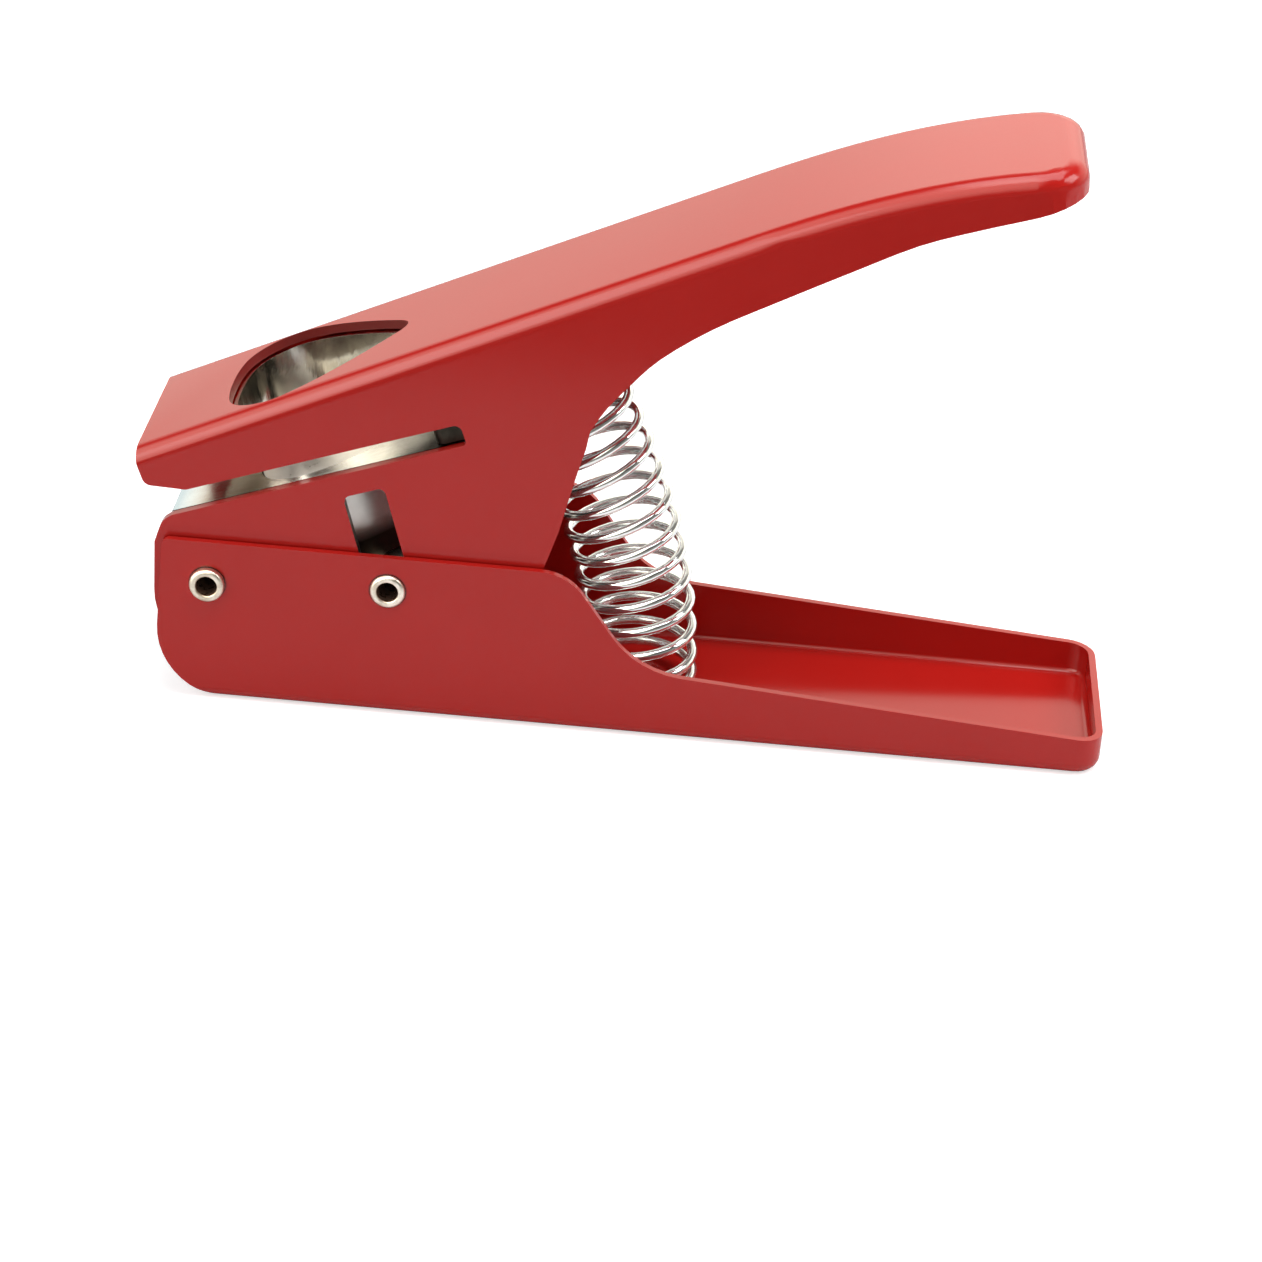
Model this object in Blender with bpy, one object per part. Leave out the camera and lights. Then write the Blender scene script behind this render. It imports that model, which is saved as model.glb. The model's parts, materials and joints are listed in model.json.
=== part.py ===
# Guitar pick punch: a lever of pressed sheet turns on a pin between the cheeks of a sheet base.
# A second pin, fixed in the base, drives a pick-shaped punch through a guide, a card slot and a die.
# X runs from the nose (-X) to the grip (+X), Y across the tool, Z up from the table.

import bmesh
import bpy
import math
from mathutils import Matrix, Vector

# Base channel
OVERALL_LENGTH = 0.1638        # lever nose to the tray's rear wall
BASE_WIDTH = 0.0360
BASE_SHEET = 0.0012
BASE_BEND = 0.0022             # outer radius between floor and walls
TRAY_CORNER = 0.0045           # outer plan radius of the tray's two rear corners
BASE_FRONT_STATION = 0.0049    # top of the cheek's front edge, measured from the nose
BASE_FRONT_LEAN = 0.0013       # how far that edge's line leans forward down to the table
CHEEK_HEIGHT = 0.0294
CHEEK_TOE_RADIUS = 0.0127      # big round at the foot of the cheek's front edge
CHEEK_TIP_RADIUS = 0.0012
SWOOP_TOP_STATION = 0.0726
SWOOP_TOP_RADIUS = 0.0092
SWOOP_FOOT_STATION = 0.0850
SWOOP_FOOT_RADIUS = 0.0165
TRAY_FRONT_HEIGHT = 0.0123
TRAY_REAR_HEIGHT = 0.0066

# Lever shell
LEVER_SHEET = 0.0016
LEVER_BEND = 0.0030            # outer radius between top plate and sides
SIDE_CLEARANCE = 0.0003        # lever side to cheek
LEVER_SLOPE = math.radians(25.16)
LEVER_NOSE_HEIGHT = 0.0442     # top plate's front edge above the table
LEVER_LENGTH = 0.1621          # along the top plate's slope
GRIP_REACH = 0.0571            # the drooping stretch at the end of the top plate
GRIP_DROOP = 0.0078            # how far the grip's end lies under the straight slope
GRIP_DROOP_POWER = 2.6
GRIP_CORNER = 0.0080           # outer plan radius of the grip's two corners
SIDE_DEPTH_ALLOWANCE = 0.0600  # deeper than any side, so that the outline alone trims it

# Joint pins
PIN_RADIUS = 0.0026
PIN_HEAD_RADIUS = 0.00295
PIN_BORE_RADIUS = 0.00175
PIN_EDGE = 0.0003              # chamfer on the heads and bores
PIN_CLEARANCE = 0.0003
PIVOT_STATION = 0.01266
PIVOT_HEIGHT = 0.02186
PIVOT_HEAD = 0.0015            # how far the pivot pin stands out of the cheek
DRIVE_SPAN = 0.03017           # drive pin behind the pivot pin
DRIVE_RISE = 0.00152           # drive pin above the pivot pin
DRIVE_HEAD = 0.00075
DRIVE_SLOT_CLEARANCE = 0.0004  # drive pin's path to the rear wall of the slot in the lever's sides
DRIVE_SLOT_RELIEF = 0.0007     # drive pin's path to that slot's front wall
SLOT_CORNER = 0.0012
LEVER_TRAVEL = math.radians(27.5)

# Card slot, die, guide and punch, in the card's own slope
CARD_SLOPE = math.radians(19.85)
LIP_STATION = 0.0062           # front edge of the lower jaw's lip, from the nose
LIP_HEIGHT = 0.0331
CARD_GAP = 0.0038
CARD_SLOT_CORNER = 0.0013      # at the closed end, upper
CARD_SLOT_LOW_CORNER = 0.0007  # at the closed end, lower
NOSE_BROW_STATION = 0.0002
NOSE_BROW_HEIGHT = 0.0422
NOSE_BROW_RADIUS = 0.0030
NOSE_CHIN_STATION = 0.0017
NOSE_CHIN_HEIGHT = 0.03825
NOSE_CHIN_RADIUS = 0.0016
NOSE_THROAT_HEIGHT = 0.0380
NOSE_THROAT_RADIUS = 0.0015
JAW_FRONT_STATION = 0.0034     # lower jaw's front edge, from the nose
JAW_CHEST_HEIGHT = 0.0280      # where that edge starts to lean back
JAW_CHEST_RADIUS = 0.0012
JAW_SHOULDER_STATION = 0.0046
JAW_SHOULDER_HEIGHT = 0.0319
JAW_SHOULDER_RADIUS = 0.0030
JAW_LIP_RADIUS = 0.0008
JAW_TOE_HEIGHT = 0.0070        # lowest edge of the lever's sides
JAW_TOE_RADIUS = 0.0120
JAW_HEEL_STATION = 0.0220
JAW_HEEL_RADIUS = 0.0100
SIDE_HEEL_STATION = 0.0682     # foot of the side's rear edge
SIDE_HEEL_HEIGHT = 0.0286
SIDE_HEEL_RADIUS = 0.0015
SEAT_GAP = 0.0003              # between pieces that seat on each other

PICK_LENGTH = 0.0302
PICK_WIDTH = 0.0260
PICK_FRONT = 0.0136            # lip to the broad end of the pick
PUNCH_CLEARANCE = 0.0003
WINDOW_MARGIN = 0.0009         # window in the top plate, outside the die's bore
PUNCH_TOP_SINK = 0.0003        # punch's face under the card slot's floor
PUNCH_HEIGHT = 0.0258
PUNCH_HEAD_HEIGHT = 0.0130     # full-size head, above a relieved body
PUNCH_RELIEF = 0.0004
GUIDE_PLATE = 0.0040
GUIDE_REACH = 0.0005           # guide's front edge ahead of the lever's lip
GUIDE_EDGE = 0.0004            # chamfer on that edge
DIE_FRONT = 0.0060             # lip to the die's front face
STOP_MARGIN = 0.0023           # pick's tip to the card stop
STOP_LENGTH = 0.0089
SLOT_OVER_STOP = 0.0055        # how much of the card stop the slots in the sides show
EYE_WALL = 0.0030              # guide block's wall around the pivot pin
BLOCK_CORNER = 0.0020

SCREW_RADIUS = 0.0015
SCREW_HEAD_RADIUS = 0.00275
SCREW_HEAD = 0.0022
SCREW_HEX_RADIUS = 0.0014
SCREW_HEX_DEPTH = 0.0012
SCREW_EDGE = 0.0003
SCREW_SPREAD = 0.0190          # between the two screws
SCREW_BITE = 0.0050            # thread length in the die
DOWEL_RADIUS = 0.0015
DOWEL_SPREAD = 0.0080
DOWEL_EDGE = 0.0003

# Spring and its seats
WIRE = 0.00175
COIL_RADIUS = 0.00915          # centre line of the wire
SPRING_BEND_RADIUS = 0.0980    # the axis bends on this radius, then runs straight to the lever
CLOSED_PITCH = 0.0024
ACTIVE_TURNS = 14.2
COIL_START = math.radians(-155.0)
FLOOR_BOSS_RADIUS = 0.0062     # low boss pressed up in the floor, inside the spring's foot
FLOOR_BOSS_HEIGHT = 0.0010
FLOOR_BOSS_FLANK = 0.0012
SEAT_DISTANCE = 0.0004         # seat's flange behind the die set
SEAT_FLANGE_MARGIN = 0.0002    # seat's flange outside the coils
SEAT_BOSS_CLEARANCE = 0.0007   # seat's crown inside the coils
SEAT_BOSS_HEIGHT = 0.0030
SEAT_SHEET = 0.0010
SEAT_BEND = 0.0010

# Counts
ARC_STEP = math.radians(9.0)   # facet angle of drawn arcs
BEND_SEGMENTS = 5
CORNER_SEGMENTS = 6
GRIP_SEGMENTS = 14
OUTLINE_STEPS = 3              # smooth points between two points of a shares table
PIN_SEGMENTS = 40
SCREW_SEGMENTS = 24
COIL_POINTS = 10
SMOOTH_ANGLE = math.radians(32.0)
OVERRUN = 0.0050               # how far cutters pass the face that they cut

# Worked out from the sizes above
NOSE_X = -OVERALL_LENGTH / 2
LEVER_WIDTH = BASE_WIDTH - 2 * BASE_SHEET - 2 * SIDE_CLEARANCE
BLOCK_WIDTH = LEVER_WIDTH - 2 * LEVER_SHEET - 2 * SEAT_GAP
DRIVE_ARM = math.hypot(DRIVE_SPAN, DRIVE_RISE)
DRIVE_ANGLE = math.atan2(DRIVE_RISE, DRIVE_SPAN)
GRIP_START = LEVER_LENGTH - GRIP_REACH
STOP_FRONT = PICK_FRONT + PICK_LENGTH + STOP_MARGIN
DIE_SET_LENGTH = STOP_FRONT + STOP_LENGTH
CARD_SLOT_DEPTH = STOP_FRONT + SLOT_OVER_STOP
SEAT_FLANGE_RADIUS = COIL_RADIUS + WIRE / 2 + SEAT_FLANGE_MARGIN
SEAT_BOSS_RADIUS = COIL_RADIUS - WIRE / 2 - SEAT_BOSS_CLEARANCE

# Half of the pick's outline: distance from the broad end as a share of the length,
# and half width as a share of half the width.
PICK_SHARES = [
    (0.000, 0.00), (0.010, 0.40), (0.052, 0.72), (0.150, 0.925), (0.290, 1.00), (0.450, 0.905),
    (0.620, 0.705), (0.790, 0.445), (0.915, 0.225), (0.980, 0.095), (1.000, 0.00),
]

# Lower edge of the lever's side from its heel to the grip's end: distance behind the heel as a share
# of the way to the grip's end, and depth under the top plate as a share of the heel's depth.
REAR_EDGE_SHARES = [(0.051, 0.860), (0.110, 0.672), (0.143, 0.573)]
UNDER_GRIP_SHARES = [
    (0.160, 0.510), (0.198, 0.445), (0.244, 0.388), (0.304, 0.326), (0.395, 0.280), (0.501, 0.259),
    (0.622, 0.240), (0.728, 0.227), (0.818, 0.245), (0.901, 0.270), (0.962, 0.284), (1.015, 0.296),
]


def clear_scene():
    for thing in list(bpy.data.objects):
        bpy.data.objects.remove(thing, do_unlink=True)


def material(name, colour, roughness, metallic):
    made = bpy.data.materials.new(name)
    made.use_nodes = True
    shader = made.node_tree.nodes["Principled BSDF"]
    shader.inputs["Base Color"].default_value = (*colour, 1.0)
    shader.inputs["Roughness"].default_value = roughness
    shader.inputs["Metallic"].default_value = metallic
    return made


def add_object(name, data, parent=None):
    made = bpy.data.objects.new(name, data)
    bpy.context.collection.objects.link(made)
    if parent:
        made.parent = parent
    return made


def add_empty(name, location, turn=0.0, parent=None):
    made = add_object(name, None, parent)
    made.location = location
    made.rotation_euler = (0.0, turn, 0.0)
    return made


def add_piece(name, shape, finish, parent=None):
    """Turn a bmesh into the mesh of a named piece, smooth but for its real edges."""
    bmesh.ops.remove_doubles(shape, verts=shape.verts, dist=1e-7)
    bmesh.ops.recalc_face_normals(shape, faces=shape.faces)
    mesh = bpy.data.meshes.new(name)
    shape.to_mesh(mesh)
    shape.free()
    mesh.shade_smooth()
    mesh.set_sharp_from_angle(angle=SMOOTH_ANGLE)
    if finish:
        mesh.materials.append(finish)
    return add_object(name, mesh, parent)


def combine(piece, shape, operation, parent=None):
    """Cut a shape out of a piece, or keep only what lies inside it."""
    cutter = add_piece(piece.name + "_cutter", shape, None, parent)
    cutter.hide_render = True
    cutter.display_type = "WIRE"
    step = piece.modifiers.new(operation.lower(), "BOOLEAN")
    step.object = cutter
    step.operation = operation
    step.solver = "EXACT"


def arc(centre, radius, start, end):
    """Points on an arc in a plane, ends included."""
    count = max(2, math.ceil(abs(end - start) / ARC_STEP))
    angles = [start + (end - start) * i / count for i in range(count + 1)]
    return [(centre[0] + radius * math.cos(a), centre[1] + radius * math.sin(a)) for a in angles]


def rounded(corners):
    """Closed outline through corners (x, z, radius), each corner rounded by its radius."""
    points = []
    for i, (x, z, radius) in enumerate(corners):
        here = Vector((x, z))
        before = (Vector(corners[i - 1][:2]) - here).normalized()
        after = (Vector(corners[(i + 1) % len(corners)][:2]) - here).normalized()
        if not radius:
            points.append((x, z))
            continue
        half = before.angle(after) / 2
        centre = here + (before + after).normalized() * radius / math.sin(half)
        first = here + before * radius / math.tan(half) - centre
        last = here + after * radius / math.tan(half) - centre
        start = math.atan2(first.y, first.x)
        sweep = (math.atan2(last.y, last.x) - start + math.pi) % (2 * math.pi) - math.pi
        points += arc(centre, radius, start, start + sweep)
    return points


def smooth_through(points, steps):
    """Points on a smooth curve through the given points, ends included."""
    made = []
    for i in range(len(points) - 1):
        p0 = points[max(i - 1, 0)]
        p1, p2 = points[i], points[i + 1]
        p3 = points[min(i + 2, len(points) - 1)]
        for k in range(steps):
            t = k / steps
            made.append(tuple(
                0.5 * (2 * b + (c - a) * t + (2 * a - 5 * b + 4 * c - d) * t ** 2
                       + (3 * b - a - 3 * c + d) * t ** 3)
                for a, b, c, d in zip(p0, p1, p2, p3)))
    made.append(points[-1])
    return made


def prism(outline, low, high, axis="Y"):
    """Closed prism of a plane outline. Along Y the outline is (x, z), along Z it is (x, y)."""
    shape = bmesh.new()
    if axis == "Y":
        corners = [shape.verts.new((a, low, b)) for a, b in outline]
        move = Vector((0.0, high - low, 0.0))
    else:
        corners = [shape.verts.new((a, b, low)) for a, b in outline]
        move = Vector((0.0, 0.0, high - low))
    face = shape.faces.new(corners)
    grown = bmesh.ops.extrude_face_region(shape, geom=[face])
    moved = [v for v in grown["geom"] if isinstance(v, bmesh.types.BMVert)]
    bmesh.ops.translate(shape, verts=moved, vec=move)
    return shape


def turned(profile, segments):
    """Closed solid of a profile (radius, z) turned about Z."""
    shape = bmesh.new()
    rings = []
    for radius, z in profile:
        count = segments if radius else 1
        angles = [2 * math.pi * i / segments for i in range(count)]
        rings.append([shape.verts.new((radius * math.cos(a), radius * math.sin(a), z)) for a in angles])
    for ring, following in zip(rings, rings[1:] + rings[:1]):
        if len(ring) == 1 and len(following) == 1:
            continue
        for i in range(segments):
            k = (i + 1) % segments
            corners = [ring[i % len(ring)], ring[k % len(ring)],
                       following[k % len(following)], following[i % len(following)]]
            shape.faces.new(list(dict.fromkeys(corners)))
    return shape


def cylinder_along_y(radius, half_length, centre):
    """Plain round cutter across the tool, at centre (x, z)."""
    shape = turned([(0.0, -half_length), (radius, -half_length), (radius, half_length),
                    (0.0, half_length)], PIN_SEGMENTS)
    bmesh.ops.rotate(shape, verts=shape.verts, matrix=Matrix.Rotation(math.pi / 2, 3, "X"))
    bmesh.ops.translate(shape, verts=shape.verts, vec=(centre[0], 0.0, centre[1]))
    return shape


def station(distance):
    """World X of a distance measured back from the nose."""
    return NOSE_X + distance


def on_slope(along, depth):
    """World (x, z) of a point given along the top plate's slope and under it."""
    c, s = math.cos(LEVER_SLOPE), math.sin(LEVER_SLOPE)
    return (NOSE_X + along * c + depth * s, LEVER_NOSE_HEIGHT + along * s - depth * c)


def from_lip(along, up):
    """World (x, z) of a point given in the card slot's frame."""
    c, s = math.cos(CARD_SLOPE), math.sin(CARD_SLOPE)
    return (station(LIP_STATION) + along * c - up * s, LIP_HEIGHT + along * s + up * c)


def rounded_block(outline, half_width, edge_loop, corner_edges, bend, corner):
    """Prism across the tool whose chosen corner edges, and then chosen rim, are rounded."""
    shape = prism(outline, -half_width, half_width)
    bmesh.ops.recalc_face_normals(shape, faces=shape.faces)
    chosen = [e for e in shape.edges if corner_edges(e)]
    bmesh.ops.bevel(shape, geom=chosen, offset=corner, offset_type="OFFSET", affect="EDGES",
                    segments=CORNER_SEGMENTS, profile=0.5)
    chosen = [e for e in shape.edges if edge_loop(e)]
    bmesh.ops.bevel(shape, geom=chosen, offset=bend, offset_type="OFFSET", affect="EDGES",
                    segments=BEND_SEGMENTS, profile=0.5)
    return shape


def base_block(inset):
    """Block with the outer shape of the base, or of its inside when inset by the sheet."""
    front = station(BASE_FRONT_STATION) - BASE_FRONT_LEAN - (2 * OVERRUN if inset else OVERRUN)
    rear = station(OVERALL_LENGTH) - inset
    top = CHEEK_HEIGHT + (2 * OVERRUN if inset else OVERRUN)
    floor = inset
    half_width = BASE_WIDTH / 2 - inset
    near = BASE_SHEET / 4

    def is_rear_corner(edge):
        a, b = (v.co for v in edge.verts)
        return min(a.x, b.x) > rear - near and abs(a.z - b.z) > near

    def is_floor_rim(edge):
        a, b = (v.co for v in edge.verts)
        return max(a.z, b.z) < floor + near and max(a.x, b.x) > front + near

    outline = [(front, floor), (rear, floor), (rear, top), (front, top)]
    return rounded_block(outline, half_width, is_floor_rim, is_rear_corner,
                         BASE_BEND - inset, TRAY_CORNER - inset)


def build_base_channel(paint):
    base = add_piece("base_channel", base_block(0.0), paint)
    combine(base, base_block(BASE_SHEET), "DIFFERENCE")
    front, rear = station(BASE_FRONT_STATION), station(OVERALL_LENGTH)
    foot = front - BASE_FRONT_LEAN
    side = rounded([
        (foot, 0.0, CHEEK_TOE_RADIUS),
        (rear + OVERRUN, 0.0, 0.0),
        (rear + OVERRUN, TRAY_REAR_HEIGHT, 0.0),
        (rear, TRAY_REAR_HEIGHT, 0.0),
        (station(SWOOP_FOOT_STATION), TRAY_FRONT_HEIGHT, SWOOP_FOOT_RADIUS),
        (station(SWOOP_TOP_STATION), CHEEK_HEIGHT, SWOOP_TOP_RADIUS),
        (front, CHEEK_HEIGHT, CHEEK_TIP_RADIUS),
    ])
    combine(base, prism(side, -BASE_WIDTH, BASE_WIDTH), "INTERSECT")
    # The floor starts where the cheeks' toe radius has run out.
    inside = BASE_WIDTH / 2 - BASE_BEND
    toe = [(foot - 2 * OVERRUN, -OVERRUN), (foot + CHEEK_TOE_RADIUS, -OVERRUN),
           (foot + CHEEK_TOE_RADIUS, BASE_BEND), (foot - 2 * OVERRUN, BASE_BEND)]
    combine(base, prism(toe, -inside, inside), "DIFFERENCE")
    for x, z in (pivot_point(), drive_point()):
        combine(base, cylinder_along_y(PIN_RADIUS + PIN_CLEARANCE, BASE_WIDTH, (x, z)), "DIFFERENCE")
    combine(base, floor_boss(BASE_SHEET / 2, BASE_SHEET), "UNION")
    combine(base, floor_boss(-OVERRUN, 0.0), "DIFFERENCE")
    return base


def floor_boss(low, level):
    """Low round boss with sloping flanks that stands on a level of the floor's sheet."""
    foot = FLOOR_BOSS_RADIUS if level else FLOOR_BOSS_RADIUS - BASE_SHEET / 2
    profile = [(0.0, low), (foot, low), (foot, level),
               (foot - FLOOR_BOSS_FLANK, level + FLOOR_BOSS_HEIGHT), (0.0, level + FLOOR_BOSS_HEIGHT)]
    shape = turned(profile, PIN_SEGMENTS)
    bmesh.ops.translate(shape, verts=shape.verts, vec=(spring_foot(), 0.0, 0.0))
    return shape


def pivot_point():
    return (station(PIVOT_STATION), PIVOT_HEIGHT)


def drive_point():
    return (station(PIVOT_STATION) + DRIVE_SPAN, PIVOT_HEIGHT + DRIVE_RISE)


def bent(point):
    """Lever block's point, given flat along X with the top at Z zero, in its drooped place."""
    share = max(0.0, (point.x - GRIP_START) / GRIP_REACH)
    steepness = GRIP_DROOP * GRIP_DROOP_POWER / GRIP_REACH * share ** (GRIP_DROOP_POWER - 1)
    lean = math.atan(steepness)
    sunk = GRIP_DROOP * share ** GRIP_DROOP_POWER - point.z * math.cos(lean)
    x, z = on_slope(point.x + point.z * math.sin(lean), sunk)
    return Vector((x, point.y, z))


def lever_block(inset):
    """Block under the lever's top plate: rounded while flat, then bent down towards the grip's end."""
    end = LEVER_LENGTH - inset
    beyond = OVERRUN if inset else 0.0
    front = -SIDE_DEPTH_ALLOWANCE / 2 - beyond
    foot = -SIDE_DEPTH_ALLOWANCE - beyond
    near = LEVER_SHEET / 4

    def is_end_corner(edge):
        a, b = (v.co for v in edge.verts)
        return min(a.x, b.x) > end - near and abs(a.z - b.z) > near

    def is_top_rim(edge):
        a, b = (v.co for v in edge.verts)
        return min(a.z, b.z) > -inset - near and max(a.x, b.x) > front + near

    outline = [(front, foot), (end, foot), (end, -inset), (front, -inset)]
    shape = rounded_block(outline, LEVER_WIDTH / 2 - inset, is_top_rim, is_end_corner,
                          LEVER_BEND - inset, GRIP_CORNER - inset)
    for i in range(GRIP_SEGMENTS):
        place = GRIP_START + GRIP_REACH * i / GRIP_SEGMENTS
        everything = shape.verts[:] + shape.edges[:] + shape.faces[:]
        bmesh.ops.bisect_plane(shape, geom=everything, plane_co=(place, 0.0, 0.0),
                               plane_no=(1.0, 0.0, 0.0))
    for vert in shape.verts:
        vert.co = bent(vert.co)
    return shape


def heel_on_slope():
    """Heel of the lever's side, along the top plate's slope and under it."""
    x, z = SIDE_HEEL_STATION, SIDE_HEEL_HEIGHT - LEVER_NOSE_HEIGHT
    c, s = math.cos(LEVER_SLOPE), math.sin(LEVER_SLOPE)
    return (x * c + z * s, x * s - z * c)


def lever_outline():
    """Side view of the lever's walls, with the card mouth."""
    half = LEVER_BEND
    throat_along = (NOSE_THROAT_HEIGHT - from_lip(0.0, CARD_GAP)[1]) / math.sin(CARD_SLOPE)
    throat = from_lip(throat_along, CARD_GAP)
    slot_high = from_lip(CARD_SLOT_DEPTH, CARD_GAP)
    slot_low = from_lip(CARD_SLOT_DEPTH, 0.0)
    lip = from_lip(0.0, 0.0)
    heel_along, heel_depth = heel_on_slope()

    def behind_heel(shares):
        return [on_slope(heel_along + a * (LEVER_LENGTH - heel_along), b * heel_depth)
                for a, b in shares]

    rear, under = behind_heel(REAR_EDGE_SHARES), behind_heel(UNDER_GRIP_SHARES)
    front = rounded([
        (2 * NOSE_X - station(NOSE_BROW_STATION), 2 * LEVER_NOSE_HEIGHT - NOSE_BROW_HEIGHT, 0.0),
        (station(NOSE_BROW_STATION), NOSE_BROW_HEIGHT, NOSE_BROW_RADIUS),
        (station(NOSE_CHIN_STATION), NOSE_CHIN_HEIGHT, NOSE_CHIN_RADIUS),
        (*throat, NOSE_THROAT_RADIUS),
        (*slot_high, CARD_SLOT_CORNER),
        (*slot_low, CARD_SLOT_LOW_CORNER),
        (*lip, JAW_LIP_RADIUS),
        (station(JAW_SHOULDER_STATION), JAW_SHOULDER_HEIGHT, JAW_SHOULDER_RADIUS),
        (station(JAW_FRONT_STATION), JAW_CHEST_HEIGHT, JAW_CHEST_RADIUS),
        (station(JAW_FRONT_STATION), JAW_TOE_HEIGHT, JAW_TOE_RADIUS),
        (station(JAW_HEEL_STATION), JAW_TOE_HEIGHT, JAW_HEEL_RADIUS),
        (station(SIDE_HEEL_STATION), SIDE_HEEL_HEIGHT, SIDE_HEEL_RADIUS),
        (*rear[0], 0.0),
        (*on_slope(LEVER_LENGTH, -half), 0.0),
    ])
    over_end = on_slope(LEVER_LENGTH + OVERRUN, -half)
    return front[:-2] + smooth_through(rear, OUTLINE_STEPS) + smooth_through(under, OUTLINE_STEPS) \
        + [over_end]


def pivot_in_lip_frame():
    """Pivot pin's centre in the card slot's frame."""
    c, s = math.cos(CARD_SLOPE), math.sin(CARD_SLOPE)
    dx, dz = pivot_point()[0] - station(LIP_STATION), pivot_point()[1] - LIP_HEIGHT
    return (dx * c + dz * s, -dx * s + dz * c)


def drive_slot():
    """Straight slot in the lever's sides for the drive pin. It lies along the chord of the pin's path
    about the pivot, and ends at the top level with the guide's underside."""
    centre = pivot_point()
    half_travel = LEVER_TRAVEL / 2
    middle = DRIVE_ANGLE + half_travel
    out = Vector((math.cos(middle), math.sin(middle)))
    up = Vector((-out.y, out.x))
    chord, reach = DRIVE_ARM * math.cos(half_travel), DRIVE_ARM * math.sin(half_travel)
    front = chord - PIN_RADIUS - DRIVE_SLOT_RELIEF
    rear = DRIVE_ARM + PIN_RADIUS + DRIVE_SLOT_CLEARANCE
    foot = -reach - PIN_RADIUS - PIN_CLEARANCE
    top = Vector((-math.sin(CARD_SLOPE), math.cos(CARD_SLOPE)))
    rise = -pivot_in_lip_frame()[1] - GUIDE_PLATE

    def corner(away, along):
        place = Vector(centre) + out * away + up * along
        return (place.x, place.y, SLOT_CORNER)

    def top_corner(away):
        return corner(away, (rise - away * out.dot(top)) / up.dot(top))

    outline = rounded([corner(front, foot), corner(rear, foot), top_corner(rear), top_corner(front)])
    return prism(outline, -LEVER_WIDTH, LEVER_WIDTH)


def pick_outline(margin):
    """Pick outline (along, across), grown by margin, broad end first."""
    half = [(PICK_FRONT + a * PICK_LENGTH, b * PICK_WIDTH / 2) for a, b in PICK_SHARES]
    other = [(a, -b) for a, b in reversed(half[1:-1])]
    loop = half + other
    count = len(loop)
    points = []
    for i in range(count):
        p0, p1, p2, p3 = (loop[(i + k) % count] for k in (-1, 0, 1, 2))
        points += smooth_through([p0, p1, p2, p3], OUTLINE_STEPS)[OUTLINE_STEPS:2 * OUTLINE_STEPS]
    grown = []
    for i, (a, b) in enumerate(points):
        before, after = points[i - 1], points[(i + 1) % len(points)]
        along = Vector((after[0] - before[0], after[1] - before[1])).normalized()
        grown.append((a - along.y * margin, b + along.x * margin))
    return grown


def build_lever_shell(paint, pivot, die_frame):
    shell = add_piece("lever_shell", lever_block(0.0), paint)
    combine(shell, prism(lever_outline(), -LEVER_WIDTH, LEVER_WIDTH), "INTERSECT")
    combine(shell, lever_block(LEVER_SHEET), "DIFFERENCE")
    combine(shell, drive_slot(), "DIFFERENCE")
    hole = cylinder_along_y(PIN_RADIUS + PIN_CLEARANCE, LEVER_WIDTH, pivot_point())
    combine(shell, hole, "DIFFERENCE")
    window = prism(pick_outline(WINDOW_MARGIN), CARD_GAP + OVERRUN, SIDE_DEPTH_ALLOWANCE, "Z")
    combine(shell, window, "DIFFERENCE", die_frame)
    return shell


def tube_pin(name, centre, head, finish):
    """Hollow pin across the base, its two heads standing out of the cheeks."""
    reach = BASE_WIDTH / 2
    end = reach + head
    profile = [
        (PIN_BORE_RADIUS, -end + PIN_EDGE),
        (PIN_BORE_RADIUS + PIN_EDGE, -end),
        (PIN_HEAD_RADIUS - PIN_EDGE, -end),
        (PIN_HEAD_RADIUS, -end + PIN_EDGE),
        (PIN_HEAD_RADIUS, -reach - PIN_CLEARANCE / 2),
        (PIN_RADIUS, -reach - PIN_CLEARANCE / 2),
        (PIN_RADIUS, reach + PIN_CLEARANCE / 2),
        (PIN_HEAD_RADIUS, reach + PIN_CLEARANCE / 2),
        (PIN_HEAD_RADIUS, end - PIN_EDGE),
        (PIN_HEAD_RADIUS - PIN_EDGE, end),
        (PIN_BORE_RADIUS + PIN_EDGE, end),
        (PIN_BORE_RADIUS, end - PIN_EDGE),
    ]
    pin = add_piece(name, turned(profile, PIN_SEGMENTS), finish)
    pin.location = (centre[0], 0.0, centre[1])
    pin.rotation_euler = (math.pi / 2, 0.0, 0.0)
    return pin


def block_plan(front, rear):
    """Plan outline of a block of the die set, with rounded corners."""
    half = BLOCK_WIDTH / 2
    return rounded([(front, -half, BLOCK_CORNER), (rear, -half, BLOCK_CORNER),
                    (rear, half, BLOCK_CORNER), (front, half, BLOCK_CORNER)])


def fastener_row():
    """Distance from the lip to the row of screws and dowels."""
    return (STOP_FRONT + DIE_SET_LENGTH) / 2


def fastener_holes(piece, die_frame, low, high):
    """Clearance holes for the screws and dowels, between two heights."""
    for spread, radius in ((SCREW_SPREAD, SCREW_RADIUS), (DOWEL_SPREAD, DOWEL_RADIUS)):
        for side in (-1, 1):
            wall = radius + PIN_CLEARANCE
            hole = turned([(0.0, low), (wall, low), (wall, high), (0.0, high)], SCREW_SEGMENTS)
            place = (fastener_row(), side * spread / 2, 0.0)
            bmesh.ops.translate(hole, verts=hole.verts, vec=place)
            combine(piece, hole, "DIFFERENCE", die_frame)


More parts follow.
